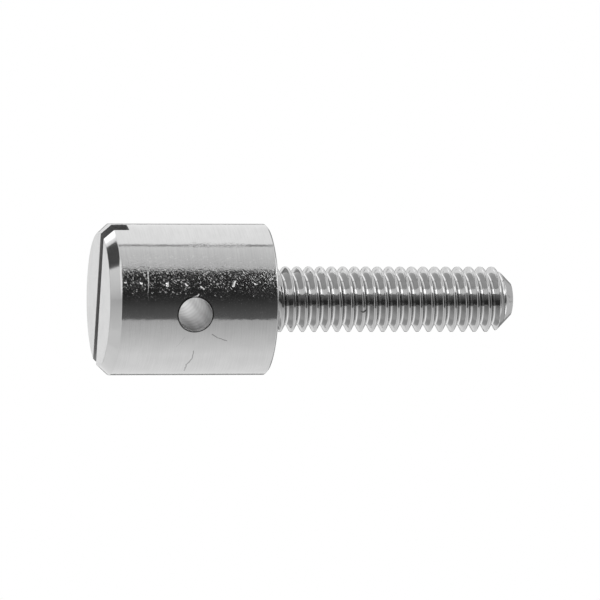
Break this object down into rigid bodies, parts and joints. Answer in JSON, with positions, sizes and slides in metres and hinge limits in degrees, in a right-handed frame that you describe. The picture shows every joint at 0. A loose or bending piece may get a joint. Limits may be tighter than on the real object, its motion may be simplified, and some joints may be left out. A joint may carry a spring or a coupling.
{
  "type": "seal screw",
  "caption": "Slotted screw with a tall round head drilled across for a seal wire and a metric thread right up to the head.",
  "frame": {"origin": "middle of the bearing face under the head, on the screw's axis", "axes": "+Z along the thread towards its tip, Y along the wire hole; the screw stands on its slotted end with the thread up"},
  "size_m": [0.009, 0.009, 0.025],
  "materials": {
    "plated_metal": "bright nickel plate on a turned surface"
  },
  "bodies": {
    "root": {"seal_screw": "plated_metal"}
  },
  "joints": []
}
